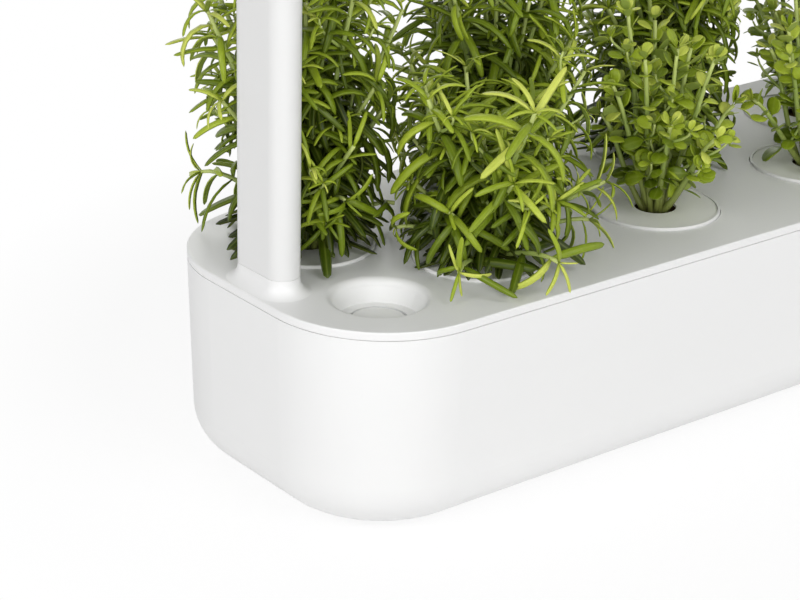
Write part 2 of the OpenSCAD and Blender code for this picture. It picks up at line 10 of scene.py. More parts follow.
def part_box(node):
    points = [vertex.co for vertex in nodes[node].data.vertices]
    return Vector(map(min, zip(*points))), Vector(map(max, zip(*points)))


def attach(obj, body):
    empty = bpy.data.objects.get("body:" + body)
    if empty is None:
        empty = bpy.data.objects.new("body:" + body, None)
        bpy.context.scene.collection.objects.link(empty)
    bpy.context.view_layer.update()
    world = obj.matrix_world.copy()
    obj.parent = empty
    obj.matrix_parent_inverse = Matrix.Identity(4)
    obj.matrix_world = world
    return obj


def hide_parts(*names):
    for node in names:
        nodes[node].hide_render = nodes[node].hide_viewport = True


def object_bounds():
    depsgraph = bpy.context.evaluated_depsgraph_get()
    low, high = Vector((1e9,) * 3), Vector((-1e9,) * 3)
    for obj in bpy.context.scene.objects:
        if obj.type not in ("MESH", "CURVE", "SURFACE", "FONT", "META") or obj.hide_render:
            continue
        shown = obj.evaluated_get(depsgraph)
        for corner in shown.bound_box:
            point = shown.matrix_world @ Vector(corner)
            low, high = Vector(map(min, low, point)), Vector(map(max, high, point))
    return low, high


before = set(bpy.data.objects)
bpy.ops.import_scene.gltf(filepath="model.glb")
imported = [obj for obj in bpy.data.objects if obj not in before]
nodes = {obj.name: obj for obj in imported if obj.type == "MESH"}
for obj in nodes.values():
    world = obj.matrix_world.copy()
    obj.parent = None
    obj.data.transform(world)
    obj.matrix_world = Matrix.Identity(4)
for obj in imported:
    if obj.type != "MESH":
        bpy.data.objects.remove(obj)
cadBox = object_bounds()
scene = bpy.context.scene
mm = 0.001
up = Vector((0, 0, 1))


class Signal:  # a node's output, so that sums on it read as plain arithmetic
    def __init__(self, bench, socket):
        self.bench = bench
        self.socket = socket

    def math(self, operation, first, second):
        return self.bench.node("Math", {"operation": operation}, {0: first, 1: second})

    def __add__(self, other):
        return self.math("ADD", self, other)

    def __radd__(self, other):
        return self.math("ADD", other, self)

    def __sub__(self, other):
        return self.math("SUBTRACT", self, other)

    def __rsub__(self, other):
        return self.math("SUBTRACT", other, self)

    def __mul__(self, other):
        return self.math("MULTIPLY", self, other)

    def __rmul__(self, other):
        return self.math("MULTIPLY", other, self)


class Bench:  # where the nodes of one material or world are put together
    def __init__(self, owner):
        owner.use_nodes = True
        self.tree = owner.node_tree
        self.tree.nodes.clear()

    def node(self, kind, settings=None, sockets=None, out=0):
        made = self.tree.nodes.new("ShaderNode" + kind)
        for key, value in (settings or {}).items():
            if key == "stops":
                self.setStops(made.color_ramp.elements, value)
            else:
                setattr(made, key, value)
        for key, value in (sockets or {}).items():
            if isinstance(value, Signal):
                self.tree.links.new(value.socket, made.inputs[key])
            else:
                made.inputs[key].default_value = value
        return Signal(self, made.outputs[out] if len(made.outputs) else None)

    def setStops(self, elements, stops):
        while len(elements) < len(stops):
            elements.new(1.0)
        for element, (place, colour) in zip(elements, stops):
            element.position = place
            element.color = (*colour, 1.0)

    def here(self):
        return self.node("TexCoord", out="Object")

    def noise(self, scale, detail=2.0, vector=None):
        sockets = {"Vector": vector or self.here(), "Scale": scale, "Detail": detail}
        return self.node("TexNoise", sockets=sockets)

    def value(self, name):  # a number kept on the piece's own vertices
        return self.node("Attribute", {"attribute_name": name}, out="Fac")

    def spread(self, signal, low, high, start=0.0, end=1.0):
        sockets = {"Value": signal, "From Min": low, "From Max": high, "To Min": start, "To Max": end}
        return self.node("MapRange", {"clamp": True}, sockets)

    def blend(self, mask, first, second):
        def paint(c):
            return c if isinstance(c, Signal) else (*c, 1.0)
        return self.node("Mix", {"data_type": "RGBA"}, {0: mask, 6: paint(first), 7: paint(second)}, out=2)

    def bump(self, height, distance, strength=1.0):
        return self.node("Bump", sockets={"Strength": strength, "Distance": distance, "Height": height})

    def surface(self, shader):
        self.node("OutputMaterial", sockets={"Surface": shader})


materials = {}


def newMaterial(name):
    material = bpy.data.materials.new(name)
    materials[name] = material
    return Bench(material)


# In every finish, a grain is in cycles to the metre and a depth in millimetres.

# Moulded plastics and rubbers: a very fine texture, and a roughness that wanders a little.
plastics = {
    "body_plastic": {
        "tone": (0.87, 0.87, 0.868), "shade": (0.85, 0.85, 0.846),
        "rough": 0.42, "grain": 2400, "depth": 0.02,
    },
    "post_plastic": {
        "tone": (0.79, 0.79, 0.785), "shade": (0.775, 0.775, 0.77),
        "rough": 0.36, "grain": 2600, "depth": 0.012,
    },
    "cup_plastic": {
        "tone": (0.88, 0.88, 0.87), "shade": (0.86, 0.86, 0.85),
        "rough": 0.33, "grain": 2600, "depth": 0.012,
    },
    "cover_plastic": {
        "tone": (0.93, 0.93, 0.9), "shade": (0.9, 0.9, 0.87),
        "rough": 0.5, "grain": 1800, "depth": 0.03,
    },
    "float_plastic": {
        "tone": (0.84, 0.84, 0.83), "shade": (0.81, 0.81, 0.8),
        "rough": 0.4, "grain": 2000, "depth": 0.02,
    },
    "button_plastic": {
        "tone": (0.82, 0.82, 0.82), "shade": (0.8, 0.8, 0.8),
        "rough": 0.35, "grain": 2400, "depth": 0.015,
    },
    "black_plastic": {
        "tone": (0.022, 0.022, 0.023), "shade": (0.015, 0.015, 0.016),
        "rough": 0.45, "grain": 2400, "depth": 0.02,
    },
    "foot_rubber": {
        "tone": (0.09, 0.09, 0.09), "shade": (0.06, 0.06, 0.06),
        "rough": 0.8, "grain": 1500, "depth": 0.05,
    },
    "lead_rubber": {
        "tone": (0.03, 0.03, 0.03), "shade": (0.02, 0.02, 0.02),
        "rough": 0.6, "grain": 1500, "depth": 0.03,
    },
}
moulding = {"cloud": 14.0, "wander": 0.12}


def makePlastic(name, look):
    bench = newMaterial(name)
    cloud = bench.noise(moulding["cloud"], 3.0)
    shader = bench.node("BsdfPrincipled", sockets={
        "Base Color": bench.blend(cloud, look["tone"], look["shade"]),
        "Roughness": look["rough"] + (cloud - 0.5) * moulding["wander"],
        "Normal": bench.bump(bench.noise(look["grain"], 4.0), look["depth"] * mm),
    })
    bench.surface(shader)


# Sheet metal brushed along X, and screws with fine marks along Z.
metals = {
    "spreader_aluminium": {"colour": (0.78, 0.78, 0.79), "rough": 0.34, "lines": (6.0, 900.0, 900.0)},
    "screw_steel": {"colour": (0.62, 0.62, 0.63), "rough": 0.28, "lines": (700.0, 700.0, 60.0)},
}
brushing = {"wander": 0.25, "depth": 0.01}


def makeMetal(name, look):
    bench = newMaterial(name)
    stretched = bench.node("Mapping", sockets={"Vector": bench.here(), "Scale": look["lines"]})
    lines = bench.noise(1.0, 4.0, stretched)
    shader = bench.node("BsdfPrincipled", sockets={
        "Base Color": (*look["colour"], 1.0),
        "Metallic": 1.0,
        "Roughness": look["rough"] + (lines - 0.5) * brushing["wander"],
        "Normal": bench.bump(lines, brushing["depth"] * mm),
    })
    bench.surface(shader)


# Circuit boards: lacquer over copper runs, which show as a faint change of height and tone.
boards = {
    "board_white": {"tone": (0.82, 0.82, 0.8), "run": (0.76, 0.76, 0.74)},
    "board_green": {"tone": (0.02, 0.12, 0.045), "run": (0.03, 0.18, 0.07)},
}
boardRuns = {"pitch": 420.0, "edge": (0.35, 0.42), "depth": 0.03, "rough": 0.35}


def makeBoard(name, look):
    bench = newMaterial(name)
    settings = {"distance": "CHEBYCHEV"}
    cells = bench.node("TexVoronoi", settings, {"Vector": bench.here(), "Scale": boardRuns["pitch"]})
    runs = bench.spread(cells, *boardRuns["edge"])
    shader = bench.node("BsdfPrincipled", sockets={
        "Base Color": bench.blend(runs, look["tone"], look["run"]),
        "Roughness": boardRuns["rough"],
        "Normal": bench.bump(runs, boardRuns["depth"] * mm),
    })
    bench.surface(shader)


leaves = {
    "tones": [
        (0.0, (0.007, 0.012, 0.001)),
        (0.3, (0.052, 0.082, 0.003)),
        (0.6, (0.200, 0.285, 0.010)),
        (0.85, (0.480, 0.600, 0.040)),
        (1.0, (0.780, 0.840, 0.160)),
    ],
    "margin": (0.48, 0.56, 0.10),
    "under": (0.34, 0.42, 0.11),
    "through": (0.42, 0.58, 0.03, 1.0),
    "speckle": {"grain": 2600.0, "tone": 0.16},
    "veins": {"grain": 420.0, "tone": 0.12},
    "edge": {"from": 0.72, "share": 0.35},  # the pale rim, as a share of the way across
    "groove": {"to": 0.22, "share": 0.3},  # the pale line along the middle
    "underShare": 0.75,
    "rough": {"top": 0.33, "under": 0.3},  # the second is added on the underside
    "gloss": 0.3,
    "depth": 0.12,
    "thin": 0.22,  # share of the light that goes through
}


def makeLeaf():
    bench = newMaterial("foliage")
    speckle, veins = (bench.noise(leaves[word]["grain"]) for word in ("speckle", "veins"))
    tone = bench.value("tone") + (speckle - 0.5) * leaves["speckle"]["tone"]
    tone = tone + (veins - 0.5) * leaves["veins"]["tone"]
    top = bench.node("ValToRGB", {"stops": leaves["tones"]}, {"Fac": tone})
    edge = bench.spread(bench.value("across"), leaves["edge"]["from"], 1.0)
    groove = bench.spread(bench.value("across"), 0.0, leaves["groove"]["to"], 1.0, 0.0)
    top = bench.blend(edge * leaves["edge"]["share"], top, leaves["margin"])
    top = bench.blend(groove * leaves["groove"]["share"], top, leaves["margin"])
    under = bench.value("under")
    colour = bench.blend(under * leaves["underShare"], top, leaves["under"])
    solid = bench.node("BsdfPrincipled", sockets={
        "Base Color": colour,
        "Roughness": leaves["rough"]["top"] + under * leaves["rough"]["under"],
        "Specular IOR Level": leaves["gloss"],
        "Normal": bench.bump(speckle + veins, leaves["depth"] * mm, 0.5),
    })
    through = bench.node("BsdfTranslucent", sockets={"Color": leaves["through"]})
    bench.surface(bench.node("MixShader", sockets={0: leaves["thin"], 1: solid, 2: through}))


stalks = {
    "tones": [
        (0.0, (0.100, 0.085, 0.030)),
        (0.35, (0.240, 0.290, 0.060)),
        (0.7, (0.330, 0.430, 0.100)),
        (1.0, (0.560, 0.640, 0.200)),
    ],
    "lines": (900.0, 900.0, 90.0),
    "wander": 0.3,
    "rough": 0.5,
    "depth": 0.08,
}


def makeStalk():
    bench = newMaterial("stalk")
    stretched = bench.node("Mapping", sockets={"Vector": bench.here(), "Scale": stalks["lines"]})
    lines = bench.noise(1.0, 2.0, stretched)
    tone = bench.value("tone") + (lines - 0.5) * stalks["wander"]
    shader = bench.node("BsdfPrincipled", sockets={
        "Base Color": bench.node("ValToRGB", {"stops": stalks["tones"]}, {"Fac": tone}),
        "Roughness": stalks["rough"],
        "Normal": bench.bump(lines, stalks["depth"] * mm),
    })
    bench.surface(shader)


peat = {
    "paintedShade": (0.05, 0.028, 0.014), "light": (0.26, 0.15, 0.075), "edge": (0.35, 0.7),
    "grain": 700.0, "rough": 0.95, "depth": 0.5,
}


def makePeat():
    bench = newMaterial("soil")
    grain = bench.noise(peat["grain"], 6.0)
    shader = bench.node("BsdfPrincipled", sockets={
        "Base Color": bench.blend(bench.spread(grain, *peat["edge"]), peat["paintedShade"], peat["light"]),
        "Roughness": peat["rough"],
        "Normal": bench.bump(grain, peat["depth"] * mm),
    })
    bench.surface(shader)


frosted = {"colour": (0.9, 0.9, 0.9, 1.0), "rough": 0.45, "prism": 1400.0, "depth": 0.06, "thin": 0.5}


def makeFrosted():
    bench = newMaterial("diffuser_plastic")
    settings = {"feature": "SMOOTH_F1"}
    cells = bench.node("TexVoronoi", settings, {"Vector": bench.here(), "Scale": frosted["prism"]})
    solid = bench.node("BsdfPrincipled", sockets={
        "Base Color": frosted["colour"],
        "Roughness": frosted["rough"],
        "Normal": bench.bump(cells, frosted["depth"] * mm),
    })
    through = bench.node("BsdfTranslucent", sockets={"Color": frosted["colour"]})
    bench.surface(bench.node("MixShader", sockets={0: frosted["thin"], 1: solid, 2: through}))


phosphor = {
    "tone": (0.85, 0.72, 0.2), "shade": (0.78, 0.6, 0.12), "grain": 3000.0, "rough": 0.25, "coat": 0.6,
}


def makePhosphor():
    bench = newMaterial("led_resin")
    grain = bench.noise(phosphor["grain"])
    shader = bench.node("BsdfPrincipled", sockets={
        "Base Color": bench.blend(grain, phosphor["tone"], phosphor["shade"]),
        "Roughness": phosphor["rough"],
        "Coat Weight": phosphor["coat"],
    })
    bench.surface(shader)


for name, look in plastics.items():
    makePlastic(name, look)
for name, look in metals.items():
    makeMetal(name, look)
for name, look in boards.items():
    makeBoard(name, look)
makeLeaf()
makeStalk()
makePeat()
makeFrosted()
makePhosphor()
painted = ("post_left", "post_right", "lamp_leg_left", "lamp_leg_right", "lamp_shell")
for name, node in nodes.items():
    for holder in node.material_slots:
        holder.material = materials["post_plastic" if name in painted else holder.material.name.split(".")[0]]
print("materials:", len(materials))


view = {
    "place": (-0.9212, -0.8942, 0.5707),
    "heading": 38.618,  # degrees, from +Y towards +X
    "dip": 23.065,  # degrees below level
    "roll": 1.391,
    "lens": 109.46,
    "sensor": 36.0,
    "clip": (0.05, 60.0),
}


def makeCamera():
    lens = bpy.data.cameras.new("camera")
    lens.lens = view["lens"]
    lens.sensor_width = view["sensor"]
    lens.clip_start, lens.clip_end = view["clip"]
    camera = bpy.data.objects.new("camera", lens)
    scene.collection.objects.link(camera)
    turn = Matrix.Rotation(-radians(view["heading"]), 4, "Z")
    turn = turn @ Matrix.Rotation(radians(90 - view["dip"]), 4, "X")
    turn = turn @ Matrix.Rotation(radians(view["roll"]), 4, "Z")
    camera.matrix_world = Matrix.Translation(view["place"]) @ turn
    scene.camera = camera


studio = {
    "sky": 0.22,
    "floorSize": 8.0,
    "paper": 0.95,  # the floor as the object sees it
    "glow": 0.86,  # the floor as the camera sees it: its own light, and what it shows of the lamps'
    "shadowed": 0.16,
    "fade": (0.33, 0.44),  # distance from the middle over which the floor turns plain white
    "aim": 0.15,  # height at which the softboxes point
}


def seen(bench):  # 1 for what the camera sees, directly or in gloss or glass
    path = bench.node("LightPath").socket.node
    words = ("Is Camera Ray", "Is Glossy Ray", "Is Transmission Ray")
    rays = [Signal(bench, path.outputs[word]) for word in words]
    return bench.spread(rays[0] + rays[1] + rays[2], 0.0, 1.0)


def makeSky():
    world = bpy.data.worlds.new("studio")
    scene.world = world
    bench = Bench(world)
    dim = bench.node("Background", sockets={"Color": (1, 1, 1, 1), "Strength": studio["sky"]})
    white = bench.node("Background", sockets={"Color": (1, 1, 1, 1), "Strength": 1.0})
    both = bench.node("MixShader", sockets={0: seen(bench), 1: dim, 2: white})
    bench.node("OutputWorld", sockets={"Surface": both})


def makeFloor():
    bm = bmesh.new()
    bmesh.ops.create_grid(bm, x_segments=1, y_segments=1, size=studio["floorSize"] / 2)
    floorMesh = bpy.data.meshes.new("floor")
    bm.to_mesh(floorMesh)
    bm.free()
    ground = bpy.data.objects.new("floor", floorMesh)
    scene.collection.objects.link(ground)
    bench = newMaterial("floor")
    paper = bench.node("BsdfDiffuse", sockets={"Color": (studio["paper"],) * 3 + (1.0,)})
    catcher = bench.node("BsdfDiffuse", sockets={"Color": (studio["shadowed"],) * 3 + (1.0,)})
    glow = bench.node("Emission", sockets={"Color": (1, 1, 1, 1), "Strength": studio["glow"]})
    shown = bench.node("AddShader", sockets={0: catcher, 1: glow})
    white = bench.node("Emission", sockets={"Color": (1, 1, 1, 1), "Strength": 1.0})
    distance = bench.node("VectorMath", {"operation": "LENGTH"}, {0: bench.here()}, "Value")
    shown = bench.node("MixShader", sockets={0: bench.spread(distance, *studio["fade"]), 1: shown, 2: white})
    bench.surface(bench.node("MixShader", sockets={0: seen(bench), 1: paper, 2: shown}))
    floorMesh.materials.append(materials["floor"])


# Softboxes: heading and height in degrees seen from the object, distance and size in metres.
softboxes = {
    "key": {"heading": 218.6, "height": 12.0, "away": 2.4, "size": (1.5, 0.7), "power": 15.2},
    "front": {"heading": 176.0, "height": 35.0, "away": 2.6, "size": (1.5, 1.1), "power": 19.5},
    "left": {"heading": 262.0, "height": 30.0, "away": 2.6, "size": (1.5, 1.1), "power": 21.4},
    "rear": {"heading": 20.0, "height": 25.0, "away": 2.6, "size": (1.5, 1.1), "power": 12.5},
    "right": {"heading": 130.0, "height": 25.0, "away": 2.6, "size": (1.5, 1.1), "power": 5.0},
}


def makeSoftbox(name, box):
    light = bpy.data.lights.new(name, "AREA")
    light.shape = "RECTANGLE"
    light.size, light.size_y = box["size"]
    light.energy = box["power"]
    holder = bpy.data.objects.new(name, light)
    scene.collection.objects.link(holder)
    heading, height = radians(box["heading"]), radians(box["height"])
    away = Vector((sin(heading) * cos(height), cos(heading) * cos(height), sin(height)))
    holder.location = away * box["away"] + up * studio["aim"]
    holder.rotation_mode = "QUATERNION"
    holder.rotation_quaternion = (-away).to_track_quat("-Z", "Y")
    holder.visible_camera = False


makeCamera()
makeSky()
makeFloor()
for name, box in softboxes.items():
    makeSoftbox(name, box)
scene.view_settings.view_transform = "Standard"
print("camera, floor and light")


def meshOf(bm, name):
    made = bpy.data.meshes.new(name)
    bm.to_mesh(made)
    bm.free()
    return made


def loft(bm, ring, places):  # carries a ring from place to place, and closes both ends
    edges = list(dict.fromkeys(edge for vert in ring for edge in vert.link_edges))
    bmesh.ops.contextual_create(bm, geom=edges)
    bmesh.ops.transform(bm, matrix=places[0], verts=ring)
    for before, after in zip(places, places[1:]):
        made = bmesh.ops.extrude_edge_only(bm, edges=edges)["geom"]
        ring = [part for part in made if isinstance(part, bmesh.types.BMVert)]
        fresh = set(ring)
        edges = [part for part in made
                 if isinstance(part, bmesh.types.BMEdge) and fresh.issuperset(part.verts)]
        bmesh.ops.transform(bm, matrix=after @ before.inverted(), verts=ring)
    bmesh.ops.contextual_create(bm, geom=edges)
    bmesh.ops.recalc_face_normals(bm, faces=bm.faces)


def mix(first, second, share):
    return first + (second - first) * share


def sideOf(direction, roll):  # a unit vector square to a direction, turned about it by roll
    return Matrix.Rotation(roll, 3, direction) @ direction.orthogonal().normalized()


def bezier(a, b, c, d, count):
    def at(t):
        return a * (1 - t) ** 3 + b * 3 * t * (1 - t) ** 2 + c * 3 * t * t * (1 - t) + d * t ** 3
    return [at(i / count) for i in range(count + 1)]


def along(points, reach):  # the point at a distance along a line of points, and the way it heads there
    for a, b in zip(points, points[1:]):
        step = (b - a).length
        if reach <= step or b is points[-1]:
            return a + (b - a) * min(reach / step, 1.0), (b - a).normalized()
        reach -= step


# Blades are drawn at a length of 1 along Y, with X across and Z on their upper side. Petiole is the bare
# share of the length, and base and tip are the least widths at the ends. Lift raises both halves of the
# section, roll turns its margins down, and bends are angles in degrees.
bladeSides = 8
tipCrowding = 1.5  # above 1, the steps of a blade stand closer together towards its tip
needle = {
    "steps": 7, "halfWidth": 0.062, "base": 0.4, "tip": 0.12, "petiole": 0.0, "skew": 0.8, "blunt": 3.2,
    "lift": 0.32, "roll": 0.5, "thick": 0.36, "curl": 0.9, "bends": (20, 38, 60, 82, 110, 145),
}
spoon = {
    "steps": 7, "halfWidth": 0.31, "base": 0.09, "tip": 0.06, "petiole": 0.2, "skew": 1.25, "blunt": 2.1,
    "lift": 0.1, "roll": 0.02, "thick": 0.11, "curl": 1.3, "bends": (12, 35, 60, 90),
}


def bladeWidth(kind, share):
    q = max(0.0, (share - kind["petiole"]) / (1 - kind["petiole"])) ** kind["skew"]
    oval = max(0.0, 1 - abs(2 * q - 1) ** kind["blunt"]) ** (1 / kind["blunt"])
    return kind["halfWidth"] * max(kind["base" if share < 0.5 else "tip"], oval)


def makeBlade(name, kind, bend):
    bm = bmesh.new()
    acrossLayer, underLayer = (bm.verts.layers.float.new(word) for word in ("across", "under"))
    ring = bmesh.ops.create_circle(bm, segments=bladeSides, radius=1.0)["verts"]
    for vert in ring:
        x, below = vert.co.x, vert.co.y < -0.1  # the lower half of the ring is the leaf's underside
        vert[acrossLayer], vert[underLayer] = abs(x), float(below)
        height = kind["lift"] * sin(pi * abs(x)) - kind["roll"] * x ** 4
        vert.co = Vector((x, 0.0, height - kind["thick"] * below))
    places, point, reached = [], Vector(), 0.0
    for i in range(kind["steps"] + 1):
        share = 1 - (1 - i / kind["steps"]) ** tipCrowding
        turn = Matrix.Rotation(-bend * share ** kind["curl"], 4, "X")
        point = point + turn @ Vector((0, share - reached, 0))
        width = bladeWidth(kind, share)
        places.append(Matrix.Translation(point) @ turn @ Matrix.Diagonal((width, 1, width, 1)))
        reached = share
    loft(bm, ring, places)
    blade = meshOf(bm, name)
    blade.shade_smooth()
    checks = [place.translation.copy() for place in places[3::2]] + [point]  # they have to find room
    return {"mesh": blade, "checks": checks, "verts": len(blade.vertices)}


blades = {
    word: [makeBlade(f"{word}{bend}", kind, radians(bend)) for bend in kind["bends"]]
    for word, kind in (("needle", needle), ("spoon", spoon))
}
print("blades:", {word: len(made) for word, made in blades.items()})


room = {  # what the plants keep clear of
    "neighbour": 1.5 * mm,
    "post": 3 * mm,
    "inlet": 30 * mm,
    "deck": 1.0 * mm,
    "lamp": 6 * mm,
    "overhang": 8 * mm,
    "beyond": 24 * mm,  # how far leaf tips pass the radius of the plant's solid
    "hole": 8 * mm,  # radius within which stems rise through the cover's hole
    "ring": 1 * mm,
}
probe = {"first": 12 * mm, "step": 2 * mm, "height": 25 * mm}  # feels how far out a plant may grow
coverSunk = 0.6 * mm  # how far the covers' undersides lie below the deck
podCount = 9
ringR = (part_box("cup_1")[1].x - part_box("cup_1")[0].x) / 2
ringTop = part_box("cup_1")[1].z
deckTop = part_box("pod_cover_1")[0].z + coverSunk
inletAt = sum(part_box("float"), Vector()) / 2
postBoxes = [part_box(f"post_{side}") for side in ("left", "right")]
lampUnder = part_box("lamp_shell")[0].z


def podCentre(k):
    low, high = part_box(f"cup_{k}")
    return Vector(((low.x + high.x) / 2, (low.y + high.y) / 2, 0))


def fromAxis(point, centre):  # level distance from the upright line through a pod's centre
    return hypot(point.x - centre.x, point.y - centre.y)


def addPiece(mesh, name, k, stoodFor):  # rides on planter k in place of its plain solid
    piece = bpy.data.objects.new(name, mesh)
    scene.collection.objects.link(piece)
    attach(piece, f"planter_{k}")
    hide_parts(f"{stoodFor}_{k}")


pods = {k: podCentre(k) for k in range(1, podCount + 1)}

leafTries = {"sizes": (1.0, 0.75, 0.5), "curls": (0, 1, -1, -2)}
stray = {  # how far single leaves stray from their plant's habit
    "angle": (-14, 14), "twist": (-0.5, 0.5), "size": (0.8, 1.15), "bend": (-1.8, 1.8),
    "tone": (-0.2, 0.16), "width": (0.8, 1.2),
}
stems = {
    "sides": 7, "points": 12, "depth": 1 * mm, "knots": (0.92, 1.08), "taper": 0.55, "turn": (-0.3, 0.3),
    "gaps": (1.15, 0.4),  # between leaves, at the foot and the tip of a shoot
    "gapStray": (0.85, 1.15), "foot": (0.2, 1.0), "rise": 0.45, "arch": 0.3, "tone": 0.2, "tuftScale": 0.8,
}
sideShoots = {
    "points": 6, "size": (0.7, 1.2), "ahead": 0.6, "aside": 0.8, "rise": 0.25, "out": 0.4, "back": 0.3,
    "tone": 0.6, "bare": 4 * mm,
}


class Plant:  # grows its shoots one at a time, and is joined from them at the end
    def __init__(self, k, look, seed):
        self.k = k
        self.look = look
        self.centre = pods[k]
        self.rng = Random(seed)
        self.spread = max(fromAxis(v.co, self.centre) for v in nodes[f"plant_{k}"].data.vertices)
        self.soil, self.top = (corner.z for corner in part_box(f"plant_{k}"))
        ways = [other - self.centre for other in pods.values() if other is not self.centre]
        self.limits = [(way.normalized(), way.length / 2 - room["neighbour"]) for way in ways]
        self.shoots = []
        self.tones = []
        self.leafCount = 0

    def fits(self, point, beyond=0.0):  # clear of the neighbours, the posts, the inlet, the lid and the lamp
        x, y, z = point
        low, high = postBoxes[x > 0]
        clear = room["post"]
        if low.x - clear < x < high.x + clear and low.y - clear < y < high.y + clear:
            return False
        if fromAxis(point, inletAt) < room["inlet"]:
            return False
        if abs(x) > cadBox[1].x + room["overhang"] or abs(y) > cadBox[1].y + room["overhang"]:
            return False
        own = fromAxis(point, self.centre)
        floorZ = ringTop if own < ringR + room["ring"] else deckTop
        if own > self.spread + beyond or z > lampUnder - room["lamp"]:
            return False
        if z < floorZ + room["deck"] and own > room["hole"]:
            return False
        return all((point - self.centre).dot(way) < limit for way, limit in self.limits)

    def reachTowards(self, heading):  # how far out the plant may grow on one side
        out = Vector((sin(heading), cos(heading), 0))
        start = self.centre + up * (ringTop + probe["height"])
        reach = probe["first"]
        while reach < self.spread and self.fits(start + out * reach):
            reach += probe["step"]
        return reach

    def startShoot(self):
        self.bm = bmesh.new()
        for word in ("across", "under"):
            self.bm.verts.layers.float.new(word)

    def addStalk(self, points, thick, thin, tones):
        places = []
        side = sideOf((points[1] - points[0]).normalized(), 0)
        for i, point in enumerate(points):
            ahead = (points[min(i + 1, len(points) - 1)] - points[max(i - 1, 0)]).normalized()
            side = (side - ahead * side.dot(ahead)).normalized()
            share = i / (len(points) - 1)
            radius = mix(thick, thin, share) * self.rng.uniform(*stems["knots"])
            turn = Matrix((side, ahead.cross(side), ahead)).transposed().to_4x4()
            places.append(Matrix.Translation(point) @ turn @ Matrix.Scale(radius, 4))
            self.tones += [mix(*tones, share)] * stems["sides"]
        ring = bmesh.ops.create_circle(self.bm, segments=stems["sides"], radius=1.0)["verts"]
        loft(self.bm, ring, places)
        for face in self.bm.faces:  # a shoot's stalk comes before its leaves
            face.material_index = 1
            face.smooth = True

    def addLeaf(self, at, out, over, length, bend, width, tone):  # curls or shortens it where room is short
        over = (over - out * over.dot(out)).normalized()
        turn = Matrix.Translation(at) @ Matrix((out.cross(over), out, over)).transposed().to_4x4()
        bends = blades[self.look["blade"]]
        for size, curl in product(leafTries["sizes"], leafTries["curls"]):
            blade = bends[max(0, min(bend + curl, len(bends) - 1))]
            place = turn @ Matrix.Diagonal((length * size * width, length * size, length * size, 1))
            if all(self.fits(place @ check, room["beyond"]) for check in blade["checks"]):
                leaf = blade["mesh"].copy()
                leaf.transform(place)
                self.bm.from_mesh(leaf)
                bpy.data.meshes.remove(leaf)
                self.tones += [tone] * blade["verts"]
                self.leafCount += 1
                return

    def addPair(self, at, ahead, roll, share, scale, opening=None):
        rng, look = self.rng, self.look
        inner = 1 - fromAxis(at, self.centre) / self.spread
        low = 1 - (at.z - ringTop) / (self.top - ringTop)
        # painted shade: leaves deep inside and low down in the plant get a darker tone, by up to the look's
        # shade share
        paintedShade = look["shade"] * max(0.0, inner) * max(0.0, low)
        side = sideOf(ahead, roll)
        for way in (side, -side):
            angle = radians((opening or mix(*look["opening"], share)) + rng.uniform(*stray["angle"]))
            out = ahead * cos(angle) + way * sin(angle)
            over = ahead * sin(angle) - way * cos(angle) + up * look["droop"]
            over = Matrix.Rotation(rng.uniform(*stray["twist"]), 3, out) @ over
            size = mix(*look["length"], share ** look["taper"]) * rng.uniform(*stray["size"]) * scale
            bend = round(mix(*look["bend"], share) + rng.uniform(*stray["bend"]))
            tone = max(0.0, min(1.0, mix(*look["tone"], share) + rng.uniform(*stray["tone"]) - paintedShade))
            width = rng.uniform(*stray["width"])
            self.addLeaf(at, out.normalized(), over, size, bend, width, tone)

    def addShoot(self, points, thick, scale, start, bare):  # gives back the places of its pairs of leaves
        rng = self.rng
        whole = sum((b - a).length for a, b in zip(points, points[1:]))
        self.startShoot()
        self.addStalk(points, thick, thick * stems["taper"], (start, 1.0))
        joints = []
        roll, reach = rng.uniform(0, pi), bare
        while reach < whole:
            share = reach / whole
            at, ahead = along(points, reach)
            self.addPair(at, ahead, roll, share, scale)
            joints.append((share, at, ahead, roll))
            roll += pi / 2 + rng.uniform(*stems["turn"])
            gap = self.look["gap"] * mix(*stems["gaps"], share)
            reach += gap * rng.uniform(*stems["gapStray"]) * scale ** 0.5
        tip, ahead = along(points, whole)
        for opening in self.look["tuft"]:
            self.addPair(tip, ahead, roll, 1.0, scale * stems["tuftScale"], opening)
            roll += pi / 2
        self.shoots.append(meshOf(self.bm, "shoot"))
        return joints

    def addMainShoot(self, heading, out, height, tipRise):
        rng, look = self.rng, self.look
        outward = Vector((sin(heading), cos(heading), 0))
        reach = self.reachTowards(heading) * out
        foot = self.centre + outward * rng.uniform(*stems["foot"]) * look["crown"]
        foot = foot + up * (self.soil - stems["depth"])
        end = self.centre + outward * reach + up * (ringTop + height)
        rise = end.z - foot.z
        first = foot + up * rise * stems["rise"] + outward * look["lean"] * reach
        second = end - up * rise * tipRise - outward * reach * stems["arch"]
        points = bezier(foot, first, second, end, stems["points"])
        joints = self.addShoot(points, look["thick"], 1.0, stems["tone"], look["bare"])
        low, high = look["sideRange"]
        for share, at, ahead, roll in joints:
            if low < share < high and rng.random() < look["sideChance"]:
                self.addSideShoot(at, ahead, roll + rng.choice((0, pi)), share)

    def addSideShoot(self, at, ahead, roll, share):
        look = self.look
        size = mix(*look["sideLength"], share) * self.rng.uniform(*sideShoots["size"])
        out = (ahead * sideShoots["ahead"] + sideOf(ahead, roll) * sideShoots["aside"]).normalized()
        end = at + out * size + up * size * sideShoots["rise"]
        if self.fits(end):
            first, second = at + out * size * sideShoots["out"], end - ahead * size * sideShoots["back"]
            points = bezier(at, first, second, end, sideShoots["points"])
            thick = look["thick"] * stems["taper"]
            self.addShoot(points, thick, look["sideScale"], sideShoots["tone"], sideShoots["bare"])

